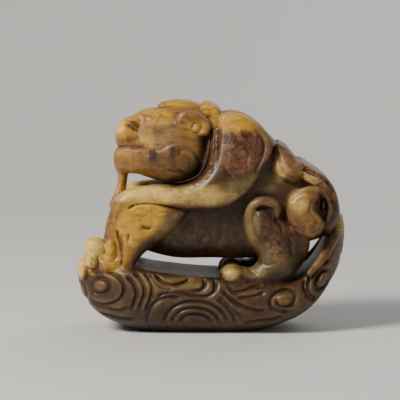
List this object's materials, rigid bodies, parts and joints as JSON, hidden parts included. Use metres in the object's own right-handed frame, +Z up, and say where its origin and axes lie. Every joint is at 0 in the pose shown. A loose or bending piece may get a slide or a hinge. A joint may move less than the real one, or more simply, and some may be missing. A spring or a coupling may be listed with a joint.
{
  "type": "jade dragon carving",
  "caption": "Hand-sized jade carving of a horned beast crouching on a boat-shaped base of scrolling clouds.",
  "frame": {"origin": "on the ground, under the middle of the carving's bounding box", "axes": "+Z up, the beast faces -X, its two sides lie towards -Y and +Y"},
  "size_m": [0.08, 0.0388, 0.0684],
  "materials": {
    "jade": "polished, waxy and slightly translucent"
  },
  "bodies": {
    "root": {"jade_dragon": "jade"}
  },
  "joints": []
}
